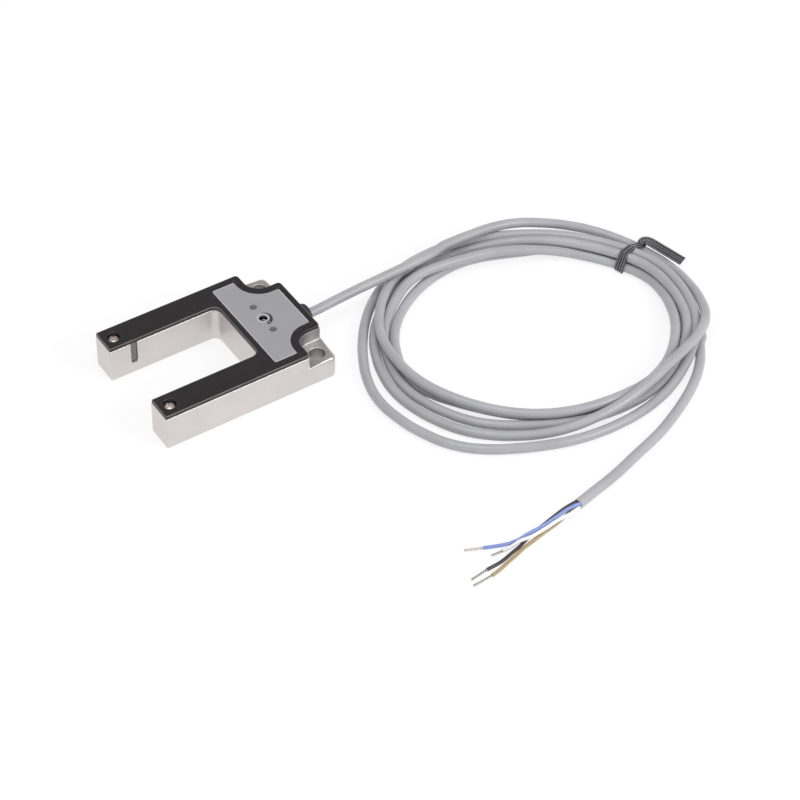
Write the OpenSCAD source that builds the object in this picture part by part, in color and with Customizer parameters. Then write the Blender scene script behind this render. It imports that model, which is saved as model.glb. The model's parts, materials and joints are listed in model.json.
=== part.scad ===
// Fork sensor: a light barrier across the slot of a U-shaped cast metal housing.
// A moulded cover with a label closes the top, two ears carry the fixing holes,
// and a cable leaves the back, lies coiled beside the sensor and ends in four wires.
// Origin: middle of the housing's underside. Arm tips point to -Y, the cable to +Y.

/* [Fork] */
// Clear width of the sensing slot
slot_w = 30; // [20:0.5:40]
// Depth of the slot from the arm tips
slot_depth = 45; // [36:0.5:46]
// Radius in the slot's inner corners
slot_r = 3; // [1:0.5:5]
// Width of each arm
arm_w = 11; // [10:0.25:14]
// Length from the arm tips to the back
body_l = 72; // [65:0.5:80]
// Height from the underside to the top of the cover
body_h = 15.75; // [14.5:0.25:20]
// Corner radius at the arm tips
tip_r = 0.6; // [0.3:0.1:1]
// Corner radius at the back of the arms and of the neck
back_r = 0.8; // [0.5:0.1:1.5]

/* [Casting] */
// Thickness of the housing's walls
wall = 1.6; // [1.2:0.1:2]
// Thickness of the housing's floor
floor_t = 2; // [1:0.1:3]
// Thickness of the back wall, which holds the gland
back_wall = 2.4; // [1.8:0.1:3]
// Solid metal at each arm tip, which takes a cover screw
tip_solid = 7.4; // [7.2:0.1:7.8]

/* [Fixing ears] */
// Height of the fixing ears
ear_h = 9; // [5:0.1:10]
// Radius of the ears' outer corners
ear_r = 2.5; // [1:0.1:3]
// Diameter of the fixing holes
hole_d = 6; // [4:0.1:6.5]
// Distance from a fixing hole's centre to the ear's two edges
hole_edge = 5.5; // [5:0.1:6.5]
// Radius of the notch around each fixing hole
notch_r = 6.2; // [5:0.1:6.5]

/* [Cover] */
// Thickness of the cover plate
cover_t = 1.2; // [1:0.1:1.6]
// Corner radius at the back of the cover
cover_r = 1.6; // [0.8:0.1:2]
// Step from the housing's edge to the cover's edge
cover_inset = 0.15; // [0.1:0.05:0.4]
// Thickness of the gasket under the cover
gasket_t = 0.3; // [0.2:0.1:0.6]
// Height of the rim that centres the cover in the housing
rim_h = 1; // [0.6:0.1:1.4]
// Thickness of that rim
rim_t = 0.9; // [0.6:0.1:1.2]
// Distance from an arm tip to its cover screw
screw_tip = 4.65; // [4.5:0.05:4.8]
// Diameter of a cover screw's head
screw_head_d = 4.1; // [3.6:0.1:4.4]
// Diameter of a cover screw's shank
screw_d = 2.4; // [2:0.1:2.6]

/* [Label] */
// Margin from the housing's sides and notches to the label
label_edge = 3.4; // [2.8:0.1:4]
// Margin from the slot's end to the label
label_front = 2.4; // [2:0.1:3.5]
// Margin from the housing's back to the label
label_back = 2.6; // [2:0.1:3.5]
// Radius of the label's corners
label_r = 0.8; // [0.4:0.1:1.2]
// Thickness of the label, and depth of the recess that it fills
label_t = 0.2; // [0.1:0.05:0.3]
// Distance from the slot's end to the row of windows and the trimmer
row_in = 11; // [9.5:0.1:12]
// Distance from the trimmer to each indicator window
window_x = 7; // [6.5:0.1:8]
// Diameter of an indicator window
window_d = 2.6; // [2:0.1:3]
// Diameter of the trimmer's rotor
rotor_d = 2.6; // [2.4:0.1:3.2]

/* [Light barrier] */
// Distance from the arm tips to the light beam
beam_tip = 10; // [9.8:0.1:12]
// Height of the light beam above the underside
beam_z = 9.3; // [8.6:0.1:9.8]
// Width of the slit in each arm
slit_w = 2.6; // [1.6:0.1:3]
// Height of the slit's lower end
slit_z = 4.5; // [4:0.1:5.5]
// Depth of the window behind the slit's mouth
slit_sink = 0.7; // [0.3:0.1:0.9]

/* [Electronics] */
// Height of the main board's underside
board_z = 7; // [5.5:0.1:7.2]
// Thickness of the boards
board_t = 1.2; // [0.8:0.1:1.6]
// Edge of the square trimmer body
trimmer_w = 6.6; // [5:0.1:8]

/* [Cable] */
// Height of the cable's axis at the gland
gland_z = 8.4; // [7:0.1:8.5]
// Diameter of the gland's head
gland_d = 9; // [8:0.1:9.6]
// Diameter of the gland's neck in the back wall
gland_neck_d = 7; // [6:0.1:7.6]
// How far the gland stands out of the back
gland_out = 3.5; // [2:0.1:5]

/* [Hidden] */
$fn = 48;

// Diameters of the cable and of its four wires, and of a bare wire end
cable_d = 3.8;
wire_d = 1.3;
tip_d = 0.9;

// Small clearances: sliding fits, seats beside a wall, and cuts that run past a face
fit = 0.05;
gap = 0.15;
past = 1;

// Places that follow from the sizes above
body_w = slot_w + 2 * arm_w;
front_y = -body_l / 2;
back_y = body_l / 2;
slot_end = front_y + slot_depth;
arm_x = (slot_w + arm_w) / 2;
hole_x = body_w / 2 - hole_edge;
hole_y = back_y - hole_edge;
neck_x = hole_x - notch_r;
notch_y = hole_y - notch_r;
housing_h = body_h - cover_t - gasket_t;
plate_z = body_h - cover_t;
cavity_front = front_y + tip_solid;
cavity_back = back_y - back_wall;
screw_y = front_y + screw_tip;
row_y = slot_end + row_in;
beam_y = front_y + beam_tip;
board_top = board_z + board_t;

// Cover screw: head height, depth of its top below the cover, play, boss around it, length
head_h = 1.2;
head_sink = 0.7;
head_play = 0.4;
boss_wall = 0.8;
boss_floor = 1;
head_hole_d = screw_head_d + 2 * head_play;
boss_d = head_hole_d + 2 * boss_wall;
head_z = body_h - head_sink - head_h;
boss_z = head_z - boss_floor;
screw_l = 7;

// Cross recess in a screw's head: length, width and depth of its arms, and their turn
cross_l = 2.5;
cross_w = 0.6;
cross_h = 0.8;
cross_turn = 20;

// Light barrier: window flange, diode and side board in each arm
flange_t = 0.8;
flange_side = 0.9;
diode_d = 3;
diode_base_d = 3.8;
diode_base_t = 0.7;
side_board_l = 11;
side_board_set = 1.1;
side_board_x = arm_x + side_board_set;
ribbon_t = 0.8;
ribbon_in = 1.4;
ribbon_under = 2;

// Main board: gap to the walls, room for the cable's end behind it, posts under its corners
board_gap = 0.6;
board_room = 2.4;
board_x = neck_x - wall - board_gap;
board_front = slot_end + wall + board_gap;
board_back = cavity_back - board_room;
post_d = 3.6;
post_in = 2.2;
ribbon_y = board_front + ribbon_in;
front_post_y = ribbon_y + gap + post_d / 2;

// Parts on the main board: margin to the board's edges, amplifier chip with its leads
part_in = 0.6;
amp_w = 4;
amp_l = 5;
amp_h = 1.4;
amp_lift = 0.15;
amp_pitch = 1.2;
lead_out = 1;
lead_w = 0.4;
lead_t = 0.3;

// Regulator, capacitors and resistors
regulator_w = 3.4;
regulator_l = 6.2;
regulator_h = 1.6;
capacitor_d = 3;
capacitor_h = 3.2;
resistor_w = 1.2;
resistor_l = 2;
resistor_h = 0.6;
resistor_pitch = 2;
wire_pitch = 1.25;

// Indicator: diode chip on the board and light pipe with a collar under the cover
chip_w = 2;
chip_h = 1;
collar_side = 0.6;
collar_d = window_d + 2 * collar_side;
collar_t = 0.8;

// Trimmer: body on the board, rotor in its bore, slot in the rotor's top, hole over it
trimmer_h = 4.2;
rotor_sink = 1.5;
rotor_seat = 1.6;
rotor_slot_w = 0.7;
rotor_slot_h = 0.8;
rotor_room = 0.35;
trimmer_hole_d = rotor_d + 2 * rotor_room;

// Gland: rounding of its head, flange inside the back wall, cable's end past the flange
gland_round = 1.4;
gland_flange = 0.9;
entry_l = 0.4;
gland_y = back_y + gland_out;
entry_y = cavity_back - gland_flange - entry_l;

// Coil: centre, edge taken off its solid, and for each turn the radius and the height
// of the cable's axis every 30 degrees, from -X over +Y and +X to -Y
coil_x = 47;
coil_y = 108;
coil_edge = 1.5;
steps = 12;
turn_r = [
    [51, 56, 63, 67.3, 66.3, 55, 52.5, 54, 58.5, 60.5, 58.3, 54.5],
    [51.5, 48, 51, 58, 59.5, 54.7, 50.4, 49, 53, 56, 54.5, 50.7],
    [44, 43, 49, 56.3, 55, 52.8, 48, 47, 48, 52.5, 56.3, 56.5],
    [54, 52, 55, 62, 63, 58.5, 57, 59.5, 66.8, 67.8, 62.5, 60],
    [57, 54, 57, 63.6, 57.5, 50.9, 46.6, 44.5, 45.5, 52, 50.7, 47.6],
    [46, 45.5, 53, 60, 64]];
turn_z = [
    [9.5, 8, 4, 3, 7.5, 9, 6, 2.5, 2, 2, 2, 2],
    [2, 5.5, 6, 6, 5.5, 2, 2, 2, 2, 2, 2, 5.7],
    [5.8, 5.5, 2.5, 2.5, 5.5, 5.5, 5.5, 5.5, 5.5, 6, 5.5, 5.5],
    [5, 5.5, 6, 6, 5.5, 2, 2, 2, 2, 2, 2, 2],
    [2, 2, 2.5, 2.5, 2, 2, 2, 2, 2, 2, 2, 2],
    [2, 2, 2.5, 2.5, 2]];

// Route of the cable's axis from the gland to the coil, and from the coil to the wires
lead_route = [[0, gland_y, gland_z], [0, 43, 8.4], [-0.4, 49, 8.5], [-0.9, 56, 8.6], [-1.2, 63, 8.8],
    [-1.4, 71, 9], [-1.5, 79, 9.3], [-1.8, 88, 9.5], [-2.5, 97, 9.5], [-3.6, 105, 9.5]];
tail_route = [[79, 163.5, 2], [86.5, 158.5, 2], [93.5, 153, 2], [99, 147, 2], [104, 140, 2],
    [108, 133, 2], [111.5, 126, 2], [115, 118, 2], [117.5, 110.5, 2], [120, 102, 2],
    [122.5, 94, 2], [124.5, 86.5, 2], [126, 79.5, 2], [127.8, 71.6, 2]];

// Routes of the wires from the cut sheath to the end of their insulation, then of the bare ends
blue_route = [[128.5, 71.6, 2.7], [128.4, 66, 2.7], [129, 60, 2.2], [129.7, 54, 2], [130, 48, 2.1],
    [129.5, 43.5, 0.7], [128.8, 39, 0.7], [127.4, 35, 0.7], [126, 31.5, 0.7]];
white_route = [[128.5, 71.6, 1.3], [130.1, 66, 1.9], [130.6, 60, 2.4], [131.2, 54, 2.1], [131.7, 48, 2.2],
    [131.2, 43.5, 2.1], [131, 40, 1.1], [130.8, 36.5, 0.7]];
black_route = [[127.1, 71.6, 2.7], [127, 66, 2], [127.5, 60, 0.8], [128.8, 54, 0.7], [130.2, 48.5, 0.7],
    [131.4, 45, 0.7], [132.3, 42.5, 0.7], [133.3, 38.5, 0.7], [134.6, 33, 0.7], [134.9, 27, 0.7]];
brown_route = [[127.1, 71.6, 1.3], [128.6, 66.5, 0.8], [130.3, 60.5, 0.7], [131.5, 54, 0.7], [132.7, 48, 0.7],
    [133.7, 43, 0.7], [134.8, 39.5, 0.7], [136, 35, 0.7], [137.2, 31, 0.7], [138, 27, 0.7]];
blue_tip_route = [[126, 31.5, 0.7], [124.7, 28.5, 0.6], [123.3, 25.5, 0.5]];
white_tip_route = [[130.8, 36.5, 0.7], [130.6, 34.2, 0.6], [130.4, 32, 0.5]];
black_tip_route = [[134.9, 27, 0.7], [135.3, 23.5, 0.6], [135.7, 20, 0.5]];
brown_tip_route = [[138, 27, 0.7], [138.2, 23, 0.6], [138.3, 19, 0.5]];

// Twist tie: direction on the coil, width along the cable, thickness, knot, loose end
tie_angle = 103;
tie_w = 4.4;
tie_t = 0.6;
tie_knot_d = 3.2;
tie_knot_z = 5.5;
tie_end_l = 15;
tie_end_w = 3.4;
tie_end_t = 0.9;
tie_end_turn = 2;

// Corner radius that is left when an outline is drawn a margin further in
function inner_r(r, margin) = max(r - margin, 0.2);

// Rectangle about the Y axis, with rounded corners at its front and its back
module block(half_x, front, back, front_r, back_r) {
    translate([-half_x, front + front_r]) square([2 * half_x, back - back_r - front - front_r]);
    translate([front_r - half_x, front]) square([2 * (half_x - front_r), 2 * front_r]);
    translate([back_r - half_x, back - 2 * back_r]) square([2 * (half_x - back_r), 2 * back_r]);
    for (side = [-1, 1]) {
        translate([side * (half_x - front_r), front + front_r]) circle(front_r);
        translate([side * (half_x - back_r), back - back_r]) circle(back_r);
    }
}

// The slot as an empty space, widened by a margin
module slot_space(margin) {
    half = slot_w / 2 + margin;
    end = slot_end + margin;
    r = slot_r + margin;
    translate([-half, front_y - past]) square([2 * half, end - r - front_y + past]);
    translate([r - half, front_y - past]) square([2 * (half - r), end - front_y + past]);
    for (side = [-1, 1]) translate([side * (half - r), end - r]) circle(r);
}

// Corner pieces between the arms and the neck, hollowed around the fixing holes
module notch_corners(margin) {
    r = notch_r + margin;
    for (side = [-1, 1]) translate([side * hole_x, hole_y]) difference() {
        translate([side < 0 ? 0 : -r - gap, -r - gap]) square([r + gap, r + gap]);
        circle(r);
    }
}

// Outline of the fork without its ears, drawn a margin further in
module fork_outline(margin = 0, corner_r = back_r) {
    r = inner_r(corner_r, margin);
    difference() {
        union() {
            block(body_w / 2 - margin, front_y + margin, notch_y - margin, inner_r(tip_r, margin), r);
            block(neck_x - margin, 0, back_y - margin, r, r);
            notch_corners(margin);
        }
        slot_space(margin);
    }
}

// Outline of the hollow inside the housing, drawn a margin further in
module cavity_outline(margin = 0) {
    intersection() {
        fork_outline(wall + margin);
        translate([-body_w / 2, cavity_front + margin])
            square([body_w, cavity_back - cavity_front - 2 * margin]);
    }
}

// Outline of the label, drawn a margin further in
module label_outline(margin = 0) {
    edge = label_edge + margin;
    front = slot_end + label_front + margin;
    block(body_w / 2 - edge, front, notch_y - edge, label_r, label_r);
    block(neck_x - edge, front, back_y - label_back - margin, label_r, label_r);
    notch_corners(edge);
}

module at_screws() {
    for (side = [-1, 1]) translate([side * arm_x, screw_y, 0]) children();
}

module at_windows() {
    for (side = [-1, 1]) translate([side * window_x, row_y, 0]) children();
}

// Places its children in the plane of the light beam: +X points into the arm from the slot's wall
module at_beam(side) {
    translate([side * slot_w / 2, beam_y, 0]) mirror([side < 0 ? 1 : 0, 0, 0]) children();
}

// Slit in an arm's inner wall, open at the top, with a round lower end
module slit_cut(width, depth, top) {
    r = width / 2;
    translate([-past, -r, slit_z + r]) cube([depth + past, width, top - slit_z - r]);
    translate([-past, 0, slit_z + r]) rotate([0, 90, 0]) cylinder(h = depth + past, r = r);
}

// Cast housing: fork, ears, hollow, bores and slits, with posts for the main board
module housing() color("gainsboro") {
    difference() {
        union() {
            linear_extrude(housing_h) fork_outline();
            linear_extrude(ear_h) difference() {
                block(body_w / 2, 0, back_y, ear_r, ear_r);
                slot_space(0);
            }
        }
        translate([0, 0, floor_t]) linear_extrude(housing_h) cavity_outline();
        for (side = [-1, 1]) {
            translate([side * hole_x, hole_y, -past]) cylinder(h = ear_h + 2 * past, d = hole_d);
            at_beam(side) slit_cut(slit_w, wall + past, housing_h + past);
        }
        at_screws() {
            translate([0, 0, boss_z - fit]) cylinder(h = housing_h, d = boss_d + 2 * fit);
            translate([0, 0, head_z - screw_l - past]) cylinder(h = housing_h, d = screw_d + 2 * fit);
        }
        translate([0, cavity_back - past, gland_z]) rotate([-90, 0, 0])
            cylinder(h = back_wall + 2 * past, d = gland_neck_d + 2 * fit);
    }
    for (x = [-1, 1], y = [front_post_y, board_back - post_in])
        translate([x * (board_x - post_in), y, floor_t - gap])
            cylinder(h = board_z - floor_t + gap, d = post_d);
}

// Cover: plate with a centring rim, screw bosses, label recess, windows and trimmer hole
module top_cover() color([0.19, 0.18, 0.19]) difference() {
    union() {
        translate([0, 0, plate_z]) linear_extrude(cover_t) fork_outline(cover_inset, cover_r);
        translate([0, 0, housing_h - rim_h]) linear_extrude(rim_h + gasket_t + gap) difference() {
            cavity_outline(gap);
            cavity_outline(gap + rim_t);
        }
        at_screws() translate([0, 0, boss_z]) cylinder(h = body_h - boss_z - gap, d = boss_d);
    }
    translate([0, 0, body_h - label_t]) linear_extrude(cover_t) label_outline();
    at_screws() {
        translate([0, 0, head_z]) cylinder(h = cover_t + body_h, d = head_hole_d);
        translate([0, 0, boss_z - past]) cylinder(h = body_h, d = screw_d + 4 * fit);
    }
    at_windows() translate([0, 0, plate_z - past]) cylinder(h = cover_t + 2 * past, d = window_d + 2 * fit);
    translate([0, row_y, plate_z - past]) cylinder(h = cover_t + 2 * past, d = trimmer_hole_d);
}

// Flat gasket on the housing's rim, open over the hollow and around the screw bosses
module cover_gasket() color([0.1, 0.1, 0.1]) translate([0, 0, housing_h]) linear_extrude(gasket_t)
    difference() {
        fork_outline(2 * cover_inset, cover_r);
        cavity_outline();
        at_screws() circle(d = boss_d + 2 * gap);
    }

// Label, flush in the cover's recess
module label_plate() color([0.64, 0.64, 0.66]) translate([0, 0, body_h - label_t]) linear_extrude(label_t)
    difference() {
        label_outline(fit);
        at_windows() circle(d = window_d + 2 * fit);
        translate([0, row_y]) circle(d = trimmer_hole_d);
    }

// Pan-head screw with a cross recess
module cover_screw() {
    difference() {
        translate([0, 0, head_z]) intersection() {
            cylinder(h = head_h, d = screw_head_d);
            translate([0, 0, head_h - screw_head_d]) sphere(screw_head_d);
        }
        for (turn = [0, 90]) rotate(turn + cross_turn)
            translate([-cross_l / 2, -cross_w / 2, head_z + head_h - cross_h])
                cube([cross_l, cross_w, head_h]);
    }
    translate([0, 0, head_z - screw_l]) cylinder(h = screw_l + gap, d = screw_d);
}

module cover_screws() color("silver") at_screws() cover_screw();

// Filter window: a rib in the slit and a flange behind the wall
module beam_window(side) at_beam(side) {
    rib_w = slit_w - 2 * fit;
    rib_z = slit_z + slit_w / 2;
    flange_top = housing_h - rim_h - gap;
    flange_w = slit_w + 2 * flange_side;
    translate([slit_sink, -rib_w / 2, rib_z]) cube([wall - slit_sink + gap, rib_w, housing_h - rib_z]);
    translate([slit_sink, 0, rib_z]) rotate([0, 90, 0]) cylinder(h = wall - slit_sink + gap, d = rib_w);
    translate([wall, -flange_w / 2, slit_z - flange_side])
        cube([flange_t, flange_w, flange_top - slit_z + flange_side]);
}

module emitter_window() color([0.25, 0.24, 0.24]) beam_window(-1);
module receiver_window() color([0.25, 0.24, 0.24]) beam_window(1);

// Domed diode on the side board, looking at the window
module beam_diode(side) {
    start = wall + flange_t + fit;
    end = side_board_x - slot_w / 2;
    dome_r = diode_d / 2;
    at_beam(side) translate([0, 0, beam_z]) rotate([0, 90, 0]) {
        translate([0, 0, start + dome_r]) sphere(dome_r);
        translate([0, 0, start + dome_r]) cylinder(h = end - start - dome_r, r = dome_r);
        translate([0, 0, end - diode_base_t]) cylinder(h = diode_base_t, d = diode_base_d);
    }
}

module emitter_diode() color([0.75, 0.72, 0.85]) beam_diode(-1);
module receiver_diode() color([0.12, 0.1, 0.1]) beam_diode(1);

// Small board that stands on the arm's floor behind the diode
module side_board(side) at_beam(side)
    translate([side_board_x - slot_w / 2, -diode_base_d / 2, floor_t])
        cube([board_t, side_board_l, housing_h - rim_h - 2 * gap - floor_t]);

module emitter_board() color("seagreen") side_board(-1);
module receiver_board() color("seagreen") side_board(1);

// Flat cable on edge, from the side board along the arm to the underside of the main board
module side_ribbon(side) {
    from_y = beam_y - diode_base_d / 2 + side_board_l;
    to_x = board_x - ribbon_under;
    translate([0, 0, floor_t]) linear_extrude(board_z - floor_t) mirror([side < 0 ? 1 : 0, 0]) {
        translate([side_board_x, from_y]) square([ribbon_t, ribbon_y - from_y]);
        translate([to_x, ribbon_y - ribbon_t]) square([side_board_x + ribbon_t - to_x, ribbon_t]);
    }
}

module emitter_ribbon() color("gray") side_ribbon(-1);
module receiver_ribbon() color("gray") side_ribbon(1);

// Main board on the four posts
module main_board() color("seagreen") translate([-board_x, board_front, board_z])
    cube([2 * board_x, board_back - board_front, board_t]);

module trimmer_body() color("royalblue") difference() {
    translate([-trimmer_w / 2, row_y - trimmer_w / 2, board_top]) cube([trimmer_w, trimmer_w, trimmer_h]);
    translate([0, row_y, board_top + trimmer_h - rotor_seat]) cylinder(h = trimmer_h, d = rotor_d + 2 * fit);
}

// Rotor of the sensitivity trimmer: a slotted shaft that ends just under the cover's hole
module trimmer_rotor() color("ivory") {
    bottom = board_top + trimmer_h - rotor_seat + fit;
    top = body_h - rotor_sink;
    difference() {
        translate([0, row_y, bottom]) cylinder(h = top - bottom, d = rotor_d);
        translate([-rotor_d, row_y - rotor_slot_w / 2, top - rotor_slot_h])
            cube([2 * rotor_d, rotor_slot_w, rotor_slot_h + past]);
    }
}

// Indicator diode on the main board under its light pipe
module indicator_led(side) translate([side * window_x - chip_w / 2, row_y - chip_w / 2, board_top])
    cube([chip_w, chip_w, chip_h]);

module power_led() color("limegreen") indicator_led(-1);
module output_led() color("orange") indicator_led(1);

// Light pipe from the indicator diode to the label, with a collar under the cover
module light_pipe(side) translate([side * window_x, row_y, 0]) {
    bottom = board_top + chip_h + fit;
    translate([0, 0, bottom]) cylinder(h = body_h - bottom, d = window_d);
    translate([0, 0, plate_z - collar_t]) cylinder(h = collar_t, d = collar_d);
}

module power_light_pipe() color([0.42, 0.43, 0.44]) light_pipe(-1);
module output_light_pipe() color([0.42, 0.43, 0.44]) light_pipe(1);

// Amplifier: chip body with a row of leads along each side
module amplifier_chip() color([0.15, 0.15, 0.16])
    translate([part_in + lead_out + amp_w / 2 - board_x, board_front + part_in + amp_l / 2, board_top]) {
        translate([-amp_w / 2, -amp_l / 2, amp_lift]) cube([amp_w, amp_l, amp_h]);
        for (side = [-1, 1], lead = [-1.5 : 1 : 1.5])
            translate([side * amp_w / 2 - lead_out, lead * amp_pitch - lead_w / 2, 0])
                cube([2 * lead_out, lead_w, lead_t]);
    }

// Regulator, capacitors and resistors on the main board
module board_components() color([0.55, 0.5, 0.42]) translate([0, 0, board_top]) {
    translate([board_x - part_in - regulator_w, board_front + part_in, 0])
        cube([regulator_w, regulator_l, regulator_h]);
    for (side = [-1, 1])
        translate([side * (board_x - part_in - capacitor_d / 2), board_back - part_in - capacitor_d / 2, 0])
            cylinder(h = capacitor_h, d = capacitor_d);
    for (place = [-1 : 1])
        translate([place * resistor_pitch - resistor_w / 2, board_front + part_in, 0])
            cube([resistor_w, resistor_l, resistor_h]);
}

// Rubber gland: round head outside, neck in the back wall, flange inside, bore for the cable
module cable_gland() color([0.16, 0.16, 0.16]) {
    r = gland_d / 2;
    translate([0, back_y, gland_z]) rotate([-90, 0, 0]) difference() {
        union() {
            cylinder(h = gland_out - gland_round, r = r);
            rotate_extrude() {
                translate([0, gland_out - gland_round]) square([r - gland_round, gland_round]);
                intersection() {
                    translate([r - gland_round, gland_out - gland_round]) circle(gland_round);
                    translate([0, gland_out - gland_round]) square([r, gland_round]);
                }
            }
            translate([0, 0, -back_wall - gap]) cylinder(h = back_wall + 2 * gap, d = gland_neck_d);
            translate([0, 0, -back_wall - gland_flange]) cylinder(h = gland_flange, r = r);
        }
        translate([0, 0, -back_wall - gland_flange - past])
            cylinder(h = back_wall + gland_flange + gland_out + 2 * past, d = cable_d + 2 * fit);
    }
}

// End of the cable inside the gland
module cable_entry() color([0.67, 0.67, 0.7]) translate([0, entry_y, gland_z]) rotate([-90, 0, 0])
    cylinder(h = gland_y - entry_y, d = cable_d);

// Four wires from the cable's end over the main board to the trimmer
module entry_wires() color([0.5, 0.4, 0.3]) {
    start = row_y + trimmer_w / 2 + 2 * gap;
    for (place = [-1.5 : 1 : 1.5])
        translate([place * wire_pitch, start, board_top + wire_d / 2]) rotate([-90, 0, 0])
            cylinder(h = entry_y - start, d = wire_d - gap);
}

// Direction of a route at one of its points, level rings apart from its slope
function unit(v) = v / norm(v);
function along(route, i) = unit(route[min(i + 1, len(route) - 1)] - route[max(i - 1, 0)]);
function ring(centre, forward, r, sides) = let (
        side = unit(cross(forward, [0, 0, 1])),
        up = cross(side, forward))
    [for (k = [0 : sides - 1]) let (a = 360 * (k + 0.5) / sides) centre + r * (cos(a) * side + sin(a) * up)];

// Round tube swept along a route, as one closed surface
module tube(route, d, sides = 8) {
    last = len(route) - 1;
    points = [for (i = [0 : last]) each ring(route[i], along(route, i), d / 2, sides)];
    walls = [for (i = [0 : last - 1], k = [0 : sides - 1])
        let (n = (k + 1) % sides, a = i * sides, b = a + sides)
        [a + k, a + n, b + n, b + k]];
    ends = [[for (k = [sides - 1 : -1 : 0]) k], [for (k = [0 : sides - 1]) last * sides + k]];
    polyhedron(points, concat(walls, ends), convexity = 10);
}

// Value at a place between the listed ones, on a smooth curve through them
function bend(a, b, c, d, u) =
    b + u / 2 * (c - a + u * (2 * a - 5 * b + 4 * c - d + u * (3 * (b - c) + d - a)));
function listed(rows, i) = rows[floor(i / steps)][i % steps];
function list_end(rows) = steps * (len(rows) - 1) + len(rows[len(rows) - 1]) - 1;
function smooth(rows, place) = let (
        end = list_end(rows),
        i = min(floor(place), end - 1))
    bend(listed(rows, max(i - 1, 0)), listed(rows, i), listed(rows, i + 1), listed(rows, min(i + 2, end)),
        place - i);

// All turns of the coil at one direction, which is counted in steps from the left
function places(step) = [for (turn = [0 : len(turn_r) - 1]) let (place = step + steps * turn)
    if (place <= list_end(turn_r)) place];
function inside_r(step) = min([for (p = places(step)) smooth(turn_r, p)]) - cable_d / 2;
function outside_r(step) = max([for (p = places(step)) smooth(turn_r, p)]) + cable_d / 2;
function under_z(step) = min([for (p = places(step)) smooth(turn_z, p)]) - cable_d / 2;
function over_z(step) = max([for (p = places(step)) smooth(turn_z, p)]) + cable_d / 2;

// Section of the coil's bundle at one direction, with its edges taken off
function coil_section(step) = let (
        a = 180 - 30 * step,
        in = inside_r(step), out = outside_r(step),
        low = max(under_z(step), 0), high = over_z(step),
        c = coil_edge)
    [for (p = [[in, low + c], [in + c, low], [out - c, low], [out, low + c],
            [out, high - c], [out - c, high], [in + c, high], [in, high - c]])
        [coil_x + p[0] * cos(a), coil_y + p[0] * sin(a), p[1]]];

module cable_lead() color([0.67, 0.67, 0.7]) tube(lead_route, cable_d);
module cable_tail() color([0.67, 0.67, 0.7]) tube(tail_route, cable_d);

// Outer shape of the coiled turns, as one closed ring
module cable_coil() color([0.67, 0.67, 0.7]) {
    count = 4 * steps;
    corners = 8;
    points = [for (i = [0 : count - 1]) each coil_section(i * steps / count)];
    faces = [for (i = [0 : count - 1], k = [0 : corners - 1])
        let (n = (k + 1) % corners, a = i * corners, b = ((i + 1) % count) * corners)
        [a + k, b + k, b + n, a + n]];
    polyhedron(points, faces, convexity = 10);
}

// Twist tie: a band around the bundle, a twisted knot and a flat loose end
module twist_tie() color([0.13, 0.13, 0.13]) {
    step = (180 - tie_angle) / 30;
    in = inside_r(step) - tie_t;
    out = outside_r(step) + tie_t;
    high = over_z(step) + tie_t;
    r = cable_d / 2;
    translate([coil_x, coil_y, 0]) rotate(tie_angle) {
        rotate([90, 0, 0]) translate([0, 0, -tie_w / 2]) linear_extrude(tie_w) difference() {
            band_section(in, out, 0, high, r);
            band_section(in + tie_t, out - tie_t, tie_t, high - tie_t, r - tie_t);
        }
        translate([out, 0, tie_knot_z]) rotate([90, 0, 0])
            cylinder(h = (tie_w + tie_knot_d) / 2, d = tie_knot_d);
        translate([out, -tie_w / 2 - tie_end_l, tie_knot_z - tie_end_w / 2]) rotate(tie_end_turn)
            cube([tie_end_t, tie_end_l, tie_end_w]);
    }
}

module band_section(x0, x1, z0, z1, r) {
    translate([x0 + r, z0]) square([x1 - x0 - 2 * r, z1 - z0]);
    translate([x0, z0 + r]) square([x1 - x0, z1 - z0 - 2 * r]);
    for (x = [x0 + r, x1 - r], z = [z0 + r, z1 - r]) translate([x, z]) circle(r);
}

module wire_blue() color([0.3, 0.4, 0.8]) tube(blue_route, wire_d);
module wire_white() color([0.95, 0.95, 0.95]) tube(white_route, wire_d);
module wire_black() color([0.1, 0.1, 0.1]) tube(black_route, wire_d);
module wire_brown() color([0.45, 0.33, 0.16]) tube(brown_route, wire_d);
module tip_blue() color("silver") tube(blue_tip_route, tip_d);
module tip_white() color("silver") tube(white_tip_route, tip_d);
module tip_black() color("silver") tube(black_tip_route, tip_d);
module tip_brown() color("silver") tube(brown_tip_route, tip_d);

housing();
top_cover();
cover_gasket();
label_plate();
cover_screws();
emitter_window();
receiver_window();
emitter_diode();
receiver_diode();
emitter_board();
receiver_board();
emitter_ribbon();
receiver_ribbon();
main_board();
trimmer_body();
trimmer_rotor();
power_led();
output_led();
power_light_pipe();
output_light_pipe();
amplifier_chip();
board_components();
cable_gland();
cable_entry();
entry_wires();
cable_lead();
cable_coil();
cable_tail();
twist_tie();
wire_blue();
wire_white();
wire_black();
wire_brown();
tip_blue();
tip_white();
tip_black();
tip_brown();
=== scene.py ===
"""Looks of a fork light barrier, laid out as a Blender add-on and run as a script.

The packed CAD model is loaded as a fixed frame. The operators give its nodes their finishes,
put rounded castings and mouldings over them, lay the cable with its wires and twist tie,
and set up a plain studio stage.
"""
import json
import math

import bmesh
import bpy
from bpy.props import FloatProperty, FloatVectorProperty, PointerProperty
from bpy.types import Operator, Panel, PropertyGroup
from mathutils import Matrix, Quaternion, Vector


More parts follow.
